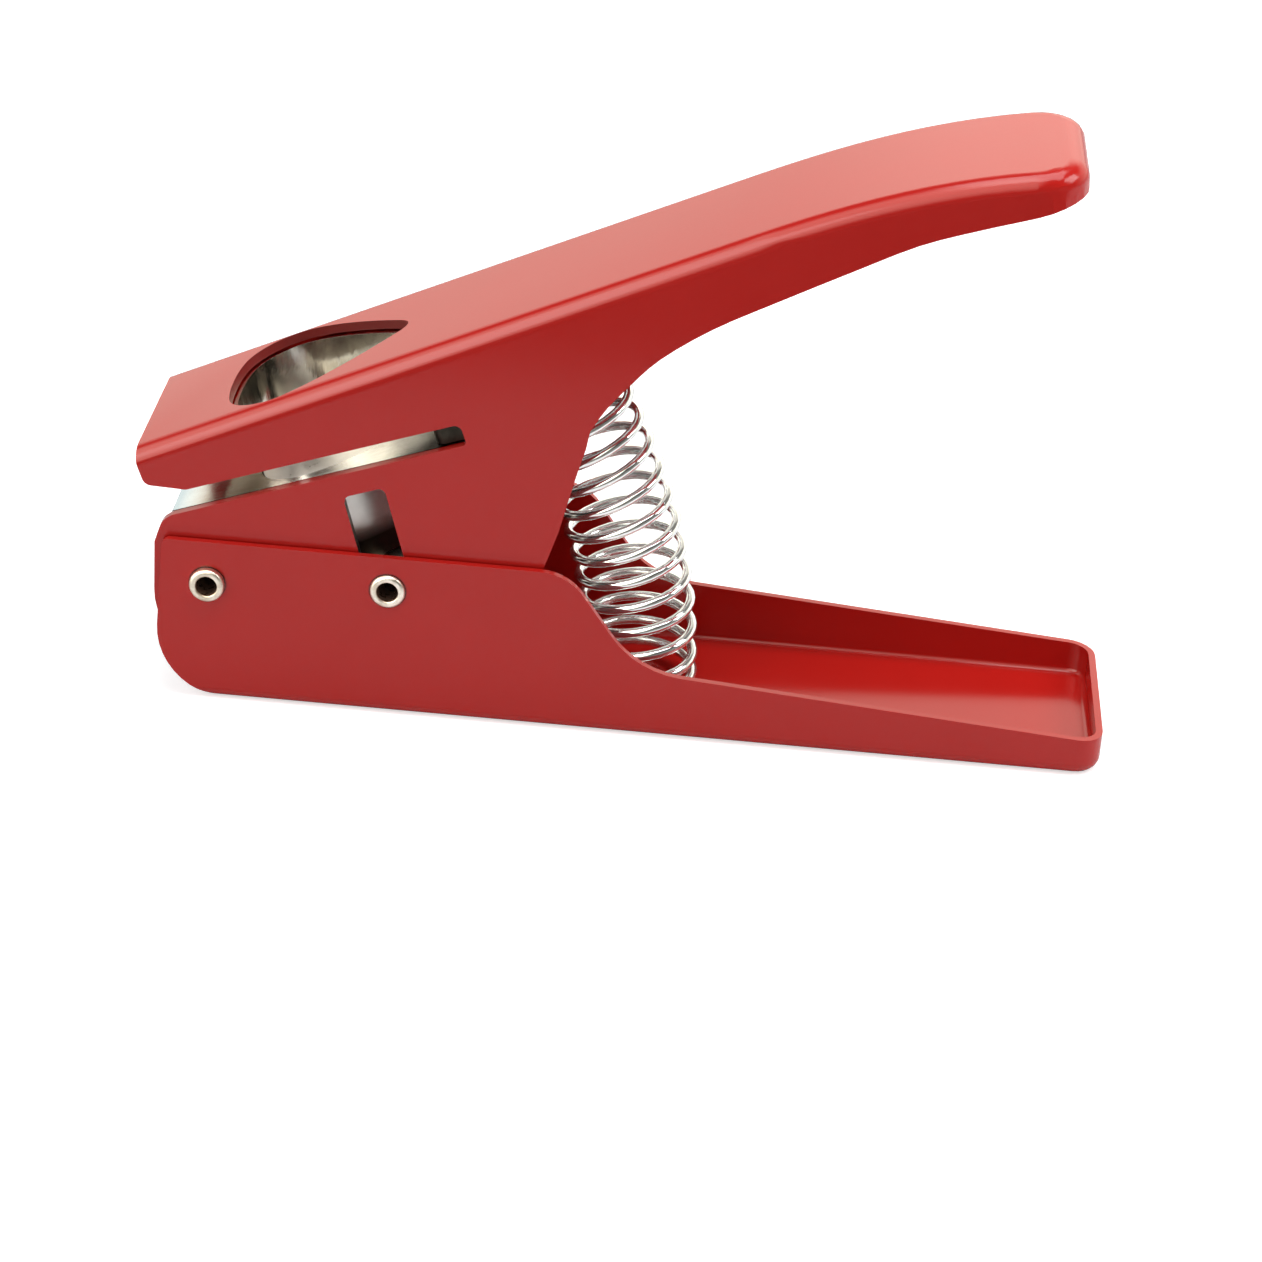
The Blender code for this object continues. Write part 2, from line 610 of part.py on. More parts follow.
def under_top_plate(along, across_gap):
    """Height in the card slot's frame of a line under the top plate, at a distance from the lip."""
    turn = LEVER_SLOPE - CARD_SLOPE
    base_x, base_z = on_slope(0.0, LEVER_SHEET + across_gap)
    dx, dz = base_x - station(LIP_STATION), base_z - LIP_HEIGHT
    c, s = math.cos(CARD_SLOPE), math.sin(CARD_SLOPE)
    start_along, start_up = dx * c + dz * s, -dx * s + dz * c
    return start_up + (along - start_along) * math.tan(turn)


def build_die_plate(steel, die_frame):
    """Die: a wedge that fills the room between the card slot and the top plate."""
    side = [(DIE_FRONT, CARD_GAP), (DIE_SET_LENGTH, CARD_GAP),
            (DIE_SET_LENGTH, under_top_plate(DIE_SET_LENGTH, SEAT_GAP)),
            (DIE_FRONT, under_top_plate(DIE_FRONT, SEAT_GAP))]
    shape = prism(side, -BLOCK_WIDTH / 2, BLOCK_WIDTH / 2)
    # The long top edges clear the inside of the lever's bends.
    long_top = [e for e in shape.edges if abs(e.verts[0].co.y - e.verts[1].co.y) < SEAT_GAP
                and min(v.co.z for v in e.verts) > CARD_GAP + SEAT_GAP]
    bmesh.ops.bevel(shape, geom=long_top, offset=LEVER_BEND - LEVER_SHEET, offset_type="OFFSET",
                    affect="EDGES", segments=1, profile=0.5)
    die = add_piece("die_plate", shape, steel, die_frame)
    tall = under_top_plate(DIE_SET_LENGTH, SEAT_GAP) + OVERRUN
    combine(die, prism(block_plan(DIE_FRONT, DIE_SET_LENGTH), CARD_GAP - OVERRUN, tall, "Z"),
            "INTERSECT", die_frame)
    combine(die, prism(pick_outline(0.0), CARD_GAP - OVERRUN, tall, "Z"), "DIFFERENCE", die_frame)
    fastener_holes(die, die_frame, CARD_GAP - OVERRUN, CARD_GAP + SCREW_BITE + PIN_CLEARANCE)
    return die


def build_guide_block(steel, die_frame):
    """Guide: a plate with the pick opening, and an eye at the front that hangs on the pivot pin."""
    eye = pivot_in_lip_frame()
    eye_radius = PIN_RADIUS + PIN_CLEARANCE + EYE_WALL
    round_end = arc(eye, eye_radius, math.pi, 2 * math.pi)
    side = round_end + [
        (eye[0] + eye_radius, -GUIDE_PLATE),
        (DIE_SET_LENGTH, -GUIDE_PLATE),
        (DIE_SET_LENGTH, 0.0),
        (GUIDE_EDGE - GUIDE_REACH, 0.0),
        (-GUIDE_REACH, -GUIDE_EDGE),
        (eye[0] - eye_radius, -GUIDE_PLATE),
    ]
    guide = add_piece("guide_block", prism(side, -BLOCK_WIDTH / 2, BLOCK_WIDTH / 2), steel, die_frame)
    hole = cylinder_along_y(PIN_RADIUS + PIN_CLEARANCE, BLOCK_WIDTH, eye)
    combine(guide, hole, "DIFFERENCE", die_frame)
    combine(guide, prism(pick_outline(0.0), -GUIDE_PLATE - OVERRUN, OVERRUN, "Z"), "DIFFERENCE",
            die_frame)
    fastener_holes(guide, die_frame, -GUIDE_PLATE - OVERRUN, OVERRUN)
    return guide


def build_card_stop(steel, die_frame):
    plan = block_plan(STOP_FRONT, DIE_SET_LENGTH)
    stop = add_piece("card_stop", prism(plan, SEAT_GAP, CARD_GAP - SEAT_GAP, "Z"), steel, die_frame)
    fastener_holes(stop, die_frame, -OVERRUN, CARD_GAP + OVERRUN)
    return stop


def build_punch(steel, die_frame, punch_frame):
    """Punch: pick-shaped head on a relieved body, with a cross slot for the drive pin."""
    top = -PUNCH_TOP_SINK
    shoulder, foot = top - PUNCH_HEAD_HEIGHT, top - PUNCH_HEIGHT
    head = pick_outline(-PUNCH_CLEARANCE)
    body = pick_outline(-PUNCH_CLEARANCE - PUNCH_RELIEF)
    shape = bmesh.new()
    rings = [[shape.verts.new((a, b, z)) for a, b in outline]
             for outline, z in ((head, top), (head, shoulder), (body, shoulder), (body, foot))]
    for ring, following in zip(rings, rings[1:]):
        for i in range(len(ring)):
            k = (i + 1) % len(ring)
            shape.faces.new((ring[i], ring[k], following[k], following[i]))
    shape.faces.new(rings[0])
    shape.faces.new(rings[-1])
    punch = add_piece("punch", shape, steel, punch_frame)
    combine(punch, punch_slot(), "DIFFERENCE", die_frame)
    return punch


def drive_in_lip_frame(turned_by):
    """Drive pin's centre in the card slot's frame after the lever has turned by an angle."""
    c, s = math.cos(CARD_SLOPE), math.sin(CARD_SLOPE)
    angle = DRIVE_ANGLE + turned_by
    x = pivot_point()[0] + DRIVE_ARM * math.cos(angle) - station(LIP_STATION)
    z = pivot_point()[1] + DRIVE_ARM * math.sin(angle) - LIP_HEIGHT
    return (x * c + z * s, -x * s + z * c)


def punch_slot():
    """Cross slot, as long as the drive pin wanders along the punch over the lever's travel."""
    half = PIN_RADIUS + PIN_CLEARANCE + PUNCH_CLEARANCE / 3
    places = [drive_in_lip_frame(LEVER_TRAVEL * i / 8) for i in range(9)]
    low, high = min(p[0] for p in places), max(p[0] for p in places)
    level = places[0][1]
    outline = arc((high, level), half, -math.pi / 2, math.pi / 2)
    outline += arc((low, level), half, math.pi / 2, 3 * math.pi / 2)
    return prism(outline, -PICK_WIDTH, PICK_WIDTH)


def build_screw(name, side, finish, die_frame):
    """Socket screw from below the guide into the die."""
    under = -GUIDE_PLATE - PIN_CLEARANCE
    tip = CARD_GAP + SCREW_BITE
    profile = [
        (0.0, under - SCREW_HEAD), (SCREW_HEAD_RADIUS - SCREW_EDGE, under - SCREW_HEAD),
        (SCREW_HEAD_RADIUS, under - SCREW_HEAD + SCREW_EDGE), (SCREW_HEAD_RADIUS, under),
        (SCREW_RADIUS, under), (SCREW_RADIUS, tip - SCREW_EDGE), (SCREW_RADIUS - SCREW_EDGE, tip),
        (0.0, tip),
    ]
    screw = add_piece(name, turned(profile, SCREW_SEGMENTS), finish, die_frame)
    screw.location = (fastener_row(), side * SCREW_SPREAD / 2, 0.0)
    socket = prism([(SCREW_HEX_RADIUS * math.cos(math.pi * i / 3),
                     SCREW_HEX_RADIUS * math.sin(math.pi * i / 3)) for i in range(6)],
                   under - SCREW_HEAD - OVERRUN, under - SCREW_HEAD + SCREW_HEX_DEPTH, "Z")
    combine(screw, socket, "DIFFERENCE", screw)
    return screw


def build_dowel(name, side, finish, die_frame):
    foot = -GUIDE_PLATE + DOWEL_EDGE
    tip = CARD_GAP + SCREW_BITE
    profile = [(0.0, foot), (DOWEL_RADIUS - DOWEL_EDGE, foot), (DOWEL_RADIUS, foot + DOWEL_EDGE),
               (DOWEL_RADIUS, tip - DOWEL_EDGE), (DOWEL_RADIUS - DOWEL_EDGE, tip), (0.0, tip)]
    dowel = add_piece(name, turned(profile, SCREW_SEGMENTS), finish, die_frame)
    dowel.location = (fastener_row(), side * DOWEL_SPREAD / 2, 0.0)
    return dowel


def spring_top():
    """Where the spring's axis meets the lever's underside: close behind the die set."""
    x, z = from_lip(DIE_SET_LENGTH, under_top_plate(DIE_SET_LENGTH, SEAT_GAP))
    c, s = math.cos(LEVER_SLOPE), math.sin(LEVER_SLOPE)
    die_rear = (x - NOSE_X) * c + (z - LEVER_NOSE_HEIGHT) * s
    return on_slope(die_rear + SEAT_DISTANCE + SEAT_FLANGE_RADIUS, LEVER_SHEET)


def spring_axis():
    """Bend angle, and the lengths of the bent and straight stretches of the spring's axis."""
    turn = LEVER_SLOPE
    bent = SPRING_BEND_RADIUS * turn
    knee_height = BASE_SHEET + SPRING_BEND_RADIUS * math.sin(turn)
    return turn, bent, (spring_top()[1] - knee_height) / math.cos(turn)


def spring_foot():
    """World X of the spring's foot, where its axis stands upright on the floor."""
    turn, _, straight = spring_axis()
    return spring_top()[0] + straight * math.sin(turn) + SPRING_BEND_RADIUS * (1 - math.cos(turn))


def spring_frame(distance):
    """Point on the spring's axis above the floor, and its lean towards the nose."""
    turn, bent, _ = spring_axis()
    angle = min(distance / SPRING_BEND_RADIUS, turn)
    x = spring_foot() - SPRING_BEND_RADIUS * (1 - math.cos(angle))
    z = BASE_SHEET + SPRING_BEND_RADIUS * math.sin(angle)
    past = max(0.0, distance - bent)
    return (x - past * math.sin(angle), z + past * math.cos(angle)), angle


def coil_point(distance, swing):
    (x, z), lean = spring_frame(distance)
    side, out = COIL_RADIUS * math.cos(swing), COIL_RADIUS * math.sin(swing)
    return Vector((x + side * math.cos(lean), out, z + side * math.sin(lean)))


def coil_points(per_turn):
    """Centre line of the wire: a closed turn, the open turns, a closed turn, and straight ends."""
    _, bent, straight = spring_axis()
    first = SEAT_GAP + WIRE / 2
    last = bent + straight - 2 * SEAT_GAP - SEAT_SHEET - WIRE / 2
    open_rise = last - first - 2 * CLOSED_PITCH
    turns = ACTIVE_TURNS + 2
    points = []
    for i in range(round(turns * per_turn) + 1):
        done = i / per_turn
        opened = min(max(done - 1, 0.0), ACTIVE_TURNS)
        closed = min(done, 1.0) + max(done - 1 - ACTIVE_TURNS, 0.0)
        rise = first + closed * CLOSED_PITCH + opened / ACTIVE_TURNS * open_rise
        points.append(coil_point(rise, COIL_START + 2 * math.pi * done))
    head = (points[0] - points[1]).normalized() * WIRE
    tail = (points[-1] - points[-2]).normalized() * WIRE
    return [points[0] + head] + points + [points[-1] + tail]


def least_gap(per_turn):
    """Smallest air gap of the wire to itself, measured between points a half turn or more apart."""
    points = coil_points(per_turn)
    skip = per_turn // 2
    least = min((a - b).length for i, a in enumerate(points) for b in points[i + skip:])
    return least - WIRE


def build_return_spring(finish):
    line = bpy.data.curves.new("return_spring", "CURVE")
    line.dimensions = "3D"
    line.bevel_depth = WIRE / 2
    line.bevel_resolution = 1
    line.use_fill_caps = True
    points = coil_points(COIL_POINTS)
    spline = line.splines.new("POLY")
    spline.points.add(len(points) - 1)
    for slot, point in zip(spline.points, points):
        slot.co = (*point, 1.0)
    line.materials.append(finish)
    print("return_spring least gap to itself: %.2f mm" % (least_gap(60) * 1000))
    return add_object("return_spring", line)


def build_spring_seat(name, place, lean, finish, parent=None):
    """Pressed hat whose crown fits in the spring's end coil."""
    brim = SEAT_SHEET
    crown = brim + SEAT_BOSS_HEIGHT
    wall = SEAT_BOSS_RADIUS - SEAT_SHEET
    profile = [
        (0.0, crown - SEAT_SHEET), (wall - SEAT_BEND, crown - SEAT_SHEET),
        (wall, crown - SEAT_SHEET - SEAT_BEND), (wall, 0.0),
        (SEAT_FLANGE_RADIUS, 0.0), (SEAT_FLANGE_RADIUS, brim),
        (SEAT_BOSS_RADIUS, brim), (SEAT_BOSS_RADIUS, crown - SEAT_BEND),
        (SEAT_BOSS_RADIUS - SEAT_BEND, crown), (0.0, crown),
    ]
    seat = add_piece(name, turned(profile, PIN_SEGMENTS), finish, parent)
    seat.location = (place[0], 0.0, place[1])
    seat.rotation_euler = (0.0, lean, 0.0)
    return seat


def build_all():
    clear_scene()
    red = material("red_paint", (0.38, 0.035, 0.03), 0.35, 0.0)
    bright_steel = material("polished_steel", (0.62, 0.60, 0.57), 0.22, 1.0)
    brushed_steel = material("brushed_steel", (0.55, 0.55, 0.54), 0.35, 1.0)
    nickel = material("nickel", (0.78, 0.73, 0.64), 0.25, 1.0)
    chrome = material("spring_wire", (0.80, 0.82, 0.82), 0.12, 1.0)
    dark_steel = material("dark_steel", (0.20, 0.19, 0.18), 0.40, 1.0)

    pivot = add_empty("lever_pivot", (pivot_point()[0], 0.0, pivot_point()[1]))
    die_frame = add_empty("card_slope", (station(LIP_STATION), 0.0, LIP_HEIGHT), -CARD_SLOPE)
    punch_frame = add_empty("punch_slide", (0.0, 0.0, 0.0), 0.0, die_frame)

    build_base_channel(red)
    build_lever_shell(red, pivot, die_frame)
    tube_pin("pivot_pin", pivot_point(), PIVOT_HEAD, nickel)
    tube_pin("drive_pin", drive_point(), DRIVE_HEAD, nickel)
    build_die_plate(bright_steel, die_frame)
    build_guide_block(brushed_steel, die_frame)
    build_card_stop(dark_steel, die_frame)
    build_punch(bright_steel, die_frame, punch_frame)
    for word, side in (("left", 1), ("right", -1)):
        build_screw("die_screw_" + word, side, dark_steel, die_frame)
        build_dowel("die_dowel_" + word, side, bright_steel, die_frame)
    build_return_spring(chrome)
    _, bent, straight = spring_axis()
    place, lean = spring_frame(bent + straight - SEAT_GAP)
    build_spring_seat("spring_seat", place, math.pi - lean, nickel)


build_all()
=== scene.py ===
# Guitar pick punch: finishes, finer pieces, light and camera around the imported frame.
# Metres throughout. X runs from the nose to the grip, Y across the tool away from the camera,
# and Z up from the table.

import json
import math

import bpy
from mathutils import Matrix, Vector


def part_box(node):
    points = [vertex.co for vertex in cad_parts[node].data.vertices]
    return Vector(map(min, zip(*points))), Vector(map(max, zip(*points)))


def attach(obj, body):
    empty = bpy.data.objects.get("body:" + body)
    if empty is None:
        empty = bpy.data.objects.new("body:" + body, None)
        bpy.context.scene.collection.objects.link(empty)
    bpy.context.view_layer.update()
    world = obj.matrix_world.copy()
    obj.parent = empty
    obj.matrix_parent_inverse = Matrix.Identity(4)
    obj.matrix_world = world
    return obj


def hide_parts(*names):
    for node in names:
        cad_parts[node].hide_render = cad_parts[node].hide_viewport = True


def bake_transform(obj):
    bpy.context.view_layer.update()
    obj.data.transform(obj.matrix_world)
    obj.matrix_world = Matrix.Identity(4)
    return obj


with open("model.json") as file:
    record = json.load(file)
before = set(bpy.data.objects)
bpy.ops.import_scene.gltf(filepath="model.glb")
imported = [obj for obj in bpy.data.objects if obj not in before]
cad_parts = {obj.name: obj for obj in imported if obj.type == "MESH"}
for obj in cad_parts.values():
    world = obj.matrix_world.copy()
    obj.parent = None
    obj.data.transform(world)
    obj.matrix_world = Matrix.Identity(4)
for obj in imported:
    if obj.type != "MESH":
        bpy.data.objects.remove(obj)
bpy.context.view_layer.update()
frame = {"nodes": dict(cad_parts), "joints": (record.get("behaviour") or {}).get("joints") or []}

# Studio levels: the world's own light, and what mirror images show of it in front and behind
WORLD_LEVEL = 0.45
FRONT_LEVEL = 0.16
BACK_LEVEL = 1.45
DEPTH_FADE = (-0.15, 0.60)     # from front to back, as the direction's Y
HIGH_SHARE = 0.12              # of a level, above the bright band along the horizon
HEIGHT_FADE = (0.44, 0.60)     # out of that band, as the direction's Z
MIRROR_TINT = (1.0, 0.955, 0.83)   # warm, for mirror images alone

# Pale walls that only mirror images show: direction, the dot products with it between which the
# wall fades in, and its level
PALE_WALLS = (
    ((-0.55, -0.45, 0.70), (0.62, 0.92), 3.9),   # mirrored by the lever's near bend
    ((-0.97, -0.22, 0.10), (0.60, 0.95), 1.9),   # mirrored by the card slot's steel
    ((0.05, 0.87, 0.49), (0.90, 0.985), 0.6),    # mirrored by the tray's floor
)

# Lamps: name, place, the point it faces, side of its square and power in watts
LAMPS = (
    ("overhead_softbox", (0.12, 0.01, 0.85), (0.02, 0.0, 0.03), 0.65, 6.1),
    ("key_softbox", (-0.50, -0.48, 0.60), (0.0, 0.0, 0.05), 0.42, 1.5),
    ("right_softbox", (0.62, 0.0, 0.50), (0.06, 0.0, 0.03), 0.30, 1.9),
)

# Pale studio floor, and a dark studio card that lies on it in front of the tool
STUDIO_FLOOR_SIZE = 6.0
STUDIO_FLOOR_DROP = 0.00005    # under the tool, so that the two faces don't share a plane
STUDIO_FLOOR_SHADE = 0.72      # grey level of its colour
STUDIO_FLOOR_GLOW = 0.60       # added for the camera alone, so that it sees white
DARK_CARD_PLACE = (0.0, -0.56, 0.002)
DARK_CARD_SIZE = (1.6, 0.8)
DARK_CARD_COLOUR = (0.05, 0.045, 0.04)
STAGE_ROUGHNESS = 0.9

# Photograph's camera, found from the tool's own edges
IMAGE_SIZE = 1262              # pixels, square
FOCAL_PIXELS = 3484.22
CENTRE_COLUMN = 629.65         # where the lens looks, in pixels
CENTRE_ROW = 483.59
CAMERA_PLACE = Vector((0.02151, -0.52842, 0.29248))
CAMERA_AZIMUTH = math.radians(-2.4327)
CAMERA_ELEVATION = math.radians(25.6648)
CAMERA_ROLL = math.radians(3.9801)
SENSOR_WIDTH = 36.0            # millimetres
NEAREST_SEEN = 0.01

# Rounded edges of sheet and machined pieces
SHEET_EDGE = 0.00016
MACHINED_EDGE = 0.00015
EDGE_SEGMENTS = 2
EDGE_ANGLE = math.radians(40.0)
FLAT_ANGLE = math.radians(0.1)
FACE_WEIGHT = 90               # how far large faces decide the shading of their corners
MERGE_DISTANCE = 1e-6

# Noise keeps to the middle of its range. Between these values of it a share runs from 0 to 1.
PATCH_RANGE = (0.10, 0.90)
CLOUD_RANGE = (0.35, 0.65)
LINE_RANGE = (0.30, 0.70)

# Red powder coat
PAINT_TONES = ((0.410, 0.0095, 0.0065), (0.440, 0.0110, 0.0080))
PAINT_IOR = 1.42
PAINT_GLOSS = (0.16, 0.21)     # roughness, least and most
PEEL_SCALE = 1500.0
PATCH_SCALE = 60.0
PEEL_STRENGTH = 0.06
GRAIN_HEIGHT = 0.0001          # of orange peel and of ground lines, at full strength

# Darker line on the paint around the pins' heads, from the head's rim outwards
PIN_RING_DARK_CORE = 0.00002           # full up to here
PIN_RING_DARK_REACH = 0.00035          # gone from here on
PIN_RING_DARK_COLOUR = (0.035, 0.010, 0.007)

# Hollow pins
PIN_RADIUS = 0.0026
PIN_HEAD_RADIUS = 0.00295
PIN_BORE_RADIUS = 0.00175
PIN_LIP = 0.00062              # round of a rolled head's outer edge
PIN_BORE_LIP = 0.00030         # round of its inner edge
PIN_VERTICES = 72
PIN_SEAT_GAP = 0.00015         # from the base's side to the head
TARNISH_REACH = 0.00018        # from the bore onto the head
TARNISH_COLOUR = (0.34, 0.20, 0.12)
GREASE_SCALE = 700.0
GREASE_STRENGTH = 0.4
GREASE_HEIGHT = 0.0002

# Return spring
WIRE = 0.00175
WIRE_ROUNDNESS = 4             # Blender's bevel resolution of the wire's section
COIL_RADIUS = 0.00915
SPRING_LEAN = math.radians(25.16)   # of the straight stretch, square to the lever's underside
SPRING_BEND_RADIUS = 0.0980    # of the stretch that rises from the floor
CLOSED_PITCH = 0.0024          # rise of each closed end turn
ACTIVE_TURNS = 14.2            # open turns between the two closed ones
COIL_START = math.radians(-155.0)   # of the wire's lower end, round the axis from the grip's side
BASE_FLOOR_TOP = 0.0012        # top of the base's floor sheet
SEAT_SHEET = 0.0010            # thickness of the upper seat's flange
SPRING_GAP = 0.0003            # between the wire and what it stands on or under
POINTS_PER_TURN = 32

# Slope of the card slot, whose frame the punch and the guide follow
CARD_SLOPE = math.radians(19.85)
SLOT_RUN = Vector((math.cos(CARD_SLOPE), 0.0, math.sin(CARD_SLOPE)))
SLOT_RISE = Vector((-math.sin(CARD_SLOPE), 0.0, math.cos(CARD_SLOPE)))

# Cut walls of the lever's sheet at the drive slots and round the pick window
DRIVE_SLOT_REACH = 0.0095      # from the slot's middle past its corners
WINDOW_REACH = 0.0145          # half the width round the middle plane that holds the pick window
EDGE_ON = 0.5                  # most that a cut wall's unit normal points along the hole


def deselect_all():
    bpy.ops.object.select_all(action="DESELECT")


def make_active(piece):
    """Selects one object alone, ready for operators."""
    deselect_all()
    piece.select_set(True)
    bpy.context.view_layer.objects.active = piece


def apply_modifiers(piece):
    make_active(piece)
    for step in list(piece.modifiers):
        bpy.ops.object.modifier_apply(modifier=step.name)


def centre_of(node):
    """X and Z of a CAD node's middle."""
    low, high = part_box(node)
    return (low.x + high.x) / 2, (low.z + high.z) / 2


def reach_of(node, direction):
    """Lowest and highest distance of a CAD node's points along a direction."""
    reach = [v.co.dot(direction) for v in frame["nodes"][node].data.vertices]
    return min(reach), max(reach)


HINGE = next(joint for joint in frame["joints"] if joint["name"] == "lever_hinge")
LEVER_TRAVEL = math.radians(HINGE["range_deg"][1])
PIVOT, DRIVE = centre_of("pivot_pin"), centre_of("drive_pin")
STOP_FRONT = reach_of("card_stop", SLOT_RUN)[0]
GUIDE_FRONT = reach_of("guide_block", SLOT_RUN)[0]
GUIDE_LOW, GUIDE_TOP = reach_of("guide_block", SLOT_RISE)
DIE_FRONT = reach_of("die_plate", SLOT_RUN)[0]


# Node helpers


def feed(tree, value, socket):
    """Links another node's output to a socket, or sets the socket to a plain value."""
    if isinstance(value, bpy.types.NodeSocket):
        tree.links.new(value, socket)
    else:
        socket.default_value = value


def number_math(tree, operation, first, second):
    """Math node on two numbers, either of which may come from another node."""
    node = tree.nodes.new("ShaderNodeMath")
    node.operation = operation
    feed(tree, first, node.inputs[0])
    feed(tree, second, node.inputs[1])
    return node.outputs["Value"]


def vector_math(tree, operation, first, second=None, result="Vector"):
    """Vector math node on one or two vectors. The second may be a plain one."""
    node = tree.nodes.new("ShaderNodeVectorMath")
    node.operation = operation
    feed(tree, first, node.inputs[0])
    if second is not None:
        feed(tree, second, node.inputs[1])
    return node.outputs[result]


def spread(tree, source, low, high, at_low, at_high, smooth=False):
    """Maps a number that runs from low to high onto the range from at_low to at_high."""
    node = tree.nodes.new("ShaderNodeMapRange")
    if smooth:
        node.interpolation_type = "SMOOTHSTEP"
    node.inputs["From Min"].default_value = low
    node.inputs["From Max"].default_value = high
    node.inputs["To Min"].default_value = at_low
    node.inputs["To Max"].default_value = at_high
    tree.links.new(source, node.inputs["Value"])
    return node.outputs["Result"]


def opaque(colour):
    """Colour with full alpha."""
    return (*colour, 1.0)


def tone(tree, source, dark, light):
    """Colour between dark and light by a share. The dark one may come from another node."""
    node = tree.nodes.new("ShaderNodeMix")
    node.data_type = "RGBA"
    feed(tree, opaque(dark) if isinstance(dark, tuple) else dark, node.inputs["A"])
    node.inputs["B"].default_value = opaque(light)
    tree.links.new(source, node.inputs["Factor"])
    return node.outputs["Result"]


def bump(tree, shader, height, strength, distance):
    node = tree.nodes.new("ShaderNodeBump")
    node.inputs["Strength"].default_value = strength
    node.inputs["Distance"].default_value = distance
    tree.links.new(height, node.inputs["Height"])
    tree.links.new(node.outputs["Normal"], shader.inputs["Normal"])


# Shared effects


def new_group(name, inputs, outputs):
    """Empty shader node group with named number inputs and outputs."""
    group = bpy.data.node_groups.new(name, "ShaderNodeTree")
    for label, value in inputs:
        socket = group.interface.new_socket(label, in_out="INPUT", socket_type="NodeSocketFloat")
        socket.default_value = value
    for label in outputs:
        group.interface.new_socket(label, in_out="OUTPUT", socket_type="NodeSocketFloat")
    return group, group.nodes.new("NodeGroupInput"), group.nodes.new("NodeGroupOutput")


def own_place(group):
    """Point on the surface in the piece's own coordinates."""
    return group.nodes.new("ShaderNodeTexCoord").outputs["Object"]


def gather(group, inside, label, axes="XYZ"):
    """Vector made of a group's inputs that share a label, such as Direction X, Y and Z."""
    node = group.nodes.new("ShaderNodeCombineXYZ")
    for axis in axes:
        group.links.new(inside.outputs[f"{label} {axis}"], node.inputs[axis])
    return node.outputs["Vector"]


def noise_of(group, source, scale, detail, roughness):
    """Noise texture in a group, read at the source vector."""
    noise = group.nodes.new("ShaderNodeTexNoise")
    noise.inputs["Detail"].default_value = detail
    noise.inputs["Roughness"].default_value = roughness
    group.links.new(source, noise.inputs["Vector"])
    feed(group, scale, noise.inputs["Scale"])
    return noise.outputs["Fac"]


def build_powder_group():
    """Powder coat: fine orange peel for the bump, and slow patches for tone and gloss."""
    group, inside, outside = new_group(
        "powder_skin", [("Peel Scale", PEEL_SCALE), ("Patch Scale", PATCH_SCALE)],
        ["Peel", "Patches"])
    place = own_place(group)
    peel = noise_of(group, place, inside.outputs["Peel Scale"], detail=2.0, roughness=0.5)
    patches = noise_of(group, place, inside.outputs["Patch Scale"], detail=3.0, roughness=0.6)
    group.links.new(peel, outside.inputs["Peel"])
    group.links.new(patches, outside.inputs["Patches"])
    return group


def build_grain_group():
    """Ground metal: fine lines across one direction, and cloudy patches of wear."""
    group, inside, outside = new_group(
        "ground_grain",
        [("Along X", 60.0), ("Along Y", 60.0), ("Along Z", 60.0), ("Cloud Scale", 220.0)],
        ["Lines", "Clouds"])
    place = own_place(group)
    stretched = vector_math(group, "MULTIPLY", place, gather(group, inside, "Along"))
    lines = noise_of(group, stretched, 1.0, detail=4.0, roughness=0.7)
    clouds = noise_of(group, place, inside.outputs["Cloud Scale"], detail=3.0, roughness=0.6)
    group.links.new(lines, outside.inputs["Lines"])
    group.links.new(clouds, outside.inputs["Clouds"])
    return group


def build_measure_group():
    """Distance of a point along a direction, in the piece's own coordinates."""
    group, inside, outside = new_group(
        "along_direction", [("Direction X", 0.0), ("Direction Y", 0.0), ("Direction Z", 1.0)],
        ["Distance"])
    distance = vector_math(group, "DOT_PRODUCT", own_place(group),
                           gather(group, inside, "Direction"), result="Value")
    group.links.new(distance, outside.inputs["Distance"])
    return group


def build_ring_group():
    """Distance of a point from an axis that runs across the tool."""
    group, inside, outside = new_group(
        "from_pin_axis", [("Centre X", 0.0), ("Centre Z", 0.0)], ["Distance"])
    away = vector_math(group, "SUBTRACT", own_place(group), gather(group, inside, "Centre", "XZ"))
    flat = vector_math(group, "MULTIPLY", away, (1.0, 0.0, 1.0))
    distance = vector_math(group, "LENGTH", flat, result="Value")
    group.links.new(distance, outside.inputs["Distance"])
    return group


SKIN = build_powder_group()
GRAIN = build_grain_group()
MEASURE = build_measure_group()
RING = build_ring_group()


def place_group(tree, group, **values):
    """Places a shared effect with this material's own values."""
    node = tree.nodes.new("ShaderNodeGroup")
    node.node_tree = group
    for label, value in values.items():
        node.inputs[label.replace("_", " ")].default_value = value
    return node


def near_pin(tree, centre, inner, outer):
    """Share that is 1 up to the inner radius about a pin's axis and 0 from the outer radius on."""
    parts = place_group(tree, RING, Centre_X=centre[0], Centre_Z=centre[1])
    return spread(tree, parts.outputs["Distance"], inner, outer, 1.0, 0.0)


def along(tree, direction, start, end):
    """Share that runs from 0 to 1 between two distances along a direction."""
    parts = place_group(tree, MEASURE, Direction_X=direction.x, Direction_Y=direction.y,
                        Direction_Z=direction.z)
    return spread(tree, parts.outputs["Distance"], start, end, 0.0, 1.0)


# Materials


def new_material(name):
    made = bpy.data.materials.new(name)
    made.use_nodes = True
    return made, made.node_tree, made.node_tree.nodes["Principled BSDF"]


